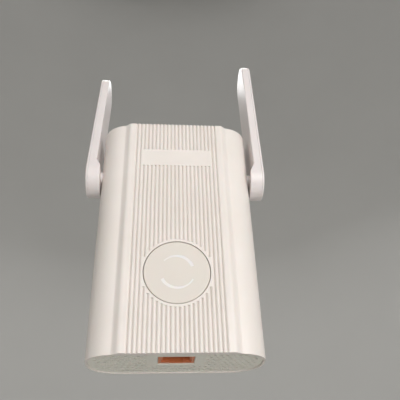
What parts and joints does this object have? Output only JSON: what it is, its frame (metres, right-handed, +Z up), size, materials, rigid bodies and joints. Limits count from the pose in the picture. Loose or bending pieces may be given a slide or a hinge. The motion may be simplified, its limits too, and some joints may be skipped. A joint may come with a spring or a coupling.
{
  "type": "mesh wifi node",
  "caption": "Wall-plug wireless extender: ribbed upright casing with vented ends, a large round push button, a network socket underneath and two folding side antennas.",
  "frame": {"origin": "on the flat back, midway between the two mains pins", "axes": "+Z up, the ribbed front faces -Y, the mains pins point along +Y"},
  "size_m": [0.094, 0.062, 0.1872],
  "materials": {
    "casing_white": "fine satin",
    "cap_white": "satin",
    "button_white": "satin",
    "arc_clear": "milky translucent",
    "antenna_white": "satin",
    "plug_white": "satin",
    "nickel_plate": "polished nickel plate",
    "steel_zinc": "zinc plated",
    "spring_steel": "bright",
    "circuit_green": "solder mask",
    "radiator_board": "solder mask",
    "chip_black": "matt moulded",
    "ferrite": "sintered",
    "winding_tape": "polyester tape",
    "bobbin_black": "moulded",
    "capacitor_sleeve": "shrink sleeve",
    "disc_blue": "dipped coating",
    "insulating_film": "clear film",
    "thermal_pad": "soft silicone",
    "heat_sink_metal": "mill finish",
    "tinned_steel": "tinned",
    "socket_orange": "moulded",
    "gold_plate": "gold plate",
    "lamp_white": "clear",
    "coax_jacket": "fluoropolymer",
    "washer_nylon": "nylon",
    "label_film": "printed film, left blank"
  },
  "bodies": {
    "housing": {"front_shell": "casing_white", "rear_shell": "casing_white", "bottom_vent_cap": "cap_white", "top_vent_cap": "cap_white", "rating_label": "label_film", "shell_screws": "steel_zinc", "plug_insert": "plug_white", "power_board": "circuit_green", "power_board_screws": "steel_zinc", "transformer_core": "ferrite", "transformer_winding": "winding_tape", "transformer_bobbin": "bobbin_black", "input_capacitors": "capacitor_sleeve", "output_capacitor": "capacitor_sleeve", "rectifier": "chip_black", "input_fuse": "bobbin_black", "safety_capacitor": "disc_blue", "power_controller": "chip_black", "insulation_sheet": "insulating_film", "main_board": "circuit_green", "main_board_screws": "steel_zinc", "processor": "chip_black", "radio_chip": "chip_black", "memory_chip": "chip_black", "thermal_pads": "thermal_pad", "heat_sink": "heat_sink_metal", "radio_shield": "tinned_steel", "lan_transformer": "chip_black", "ethernet_jack": "socket_orange", "ethernet_contacts": "gold_plate", "status_lights": "lamp_white", "switch_body": "tinned_steel", "board_header": "bobbin_black", "header_socket": "bobbin_black", "plug_pin_left": "nickel_plate", "pin_contact_left": "spring_steel", "friction_washer_left": "washer_nylon", "coax_lead_left": "coax_jacket", "coax_plug_left": "gold_plate", "plug_pin_right": "nickel_plate", "pin_contact_right": "spring_steel", "friction_washer_right": "washer_nylon", "coax_lead_right": "coax_jacket", "coax_plug_right": "gold_plate"},
    "antenna_left": {"antenna_inner_left": "antenna_white", "antenna_outer_left": "antenna_white", "antenna_element_left": "radiator_board", "hinge_clip_left": "spring_steel"},
    "antenna_right": {"antenna_inner_right": "antenna_white", "antenna_outer_right": "antenna_white", "antenna_element_right": "radiator_board", "hinge_clip_right": "spring_steel"},
    "button": {"button_cap": "button_white", "light_arcs": "arc_clear"},
    "switch": {"switch_plunger": "bobbin_black"}
  },
  "joints": [
    {"name": "antenna_left_hinge", "type": "hinge", "parent": "housing", "child": "antenna_left", "pos_m": [-0.037, -0.02, 0.0211], "axis": [1, 0, 0], "range_deg": [-8, 192]},
    {"name": "antenna_right_hinge", "type": "hinge", "parent": "housing", "child": "antenna_right", "pos_m": [0.037, -0.02, 0.0211], "axis": [1, 0, 0], "range_deg": [-17.5, 182.5]},
    {"name": "button_press", "type": "slide", "parent": "housing", "child": "button", "axis": [0, 1, 0], "range_m": [0, 0.0004], "stiffness_N_per_m": 4000},
    {"name": "switch_press", "type": "slide", "parent": "housing", "child": "switch", "axis": [0, 1, 0], "range_m": [0, 0.0004]}
  ],
  "couplings": [
    {"joint": "switch_press", "follows": "button_press", "ratio": 1}
  ]
}
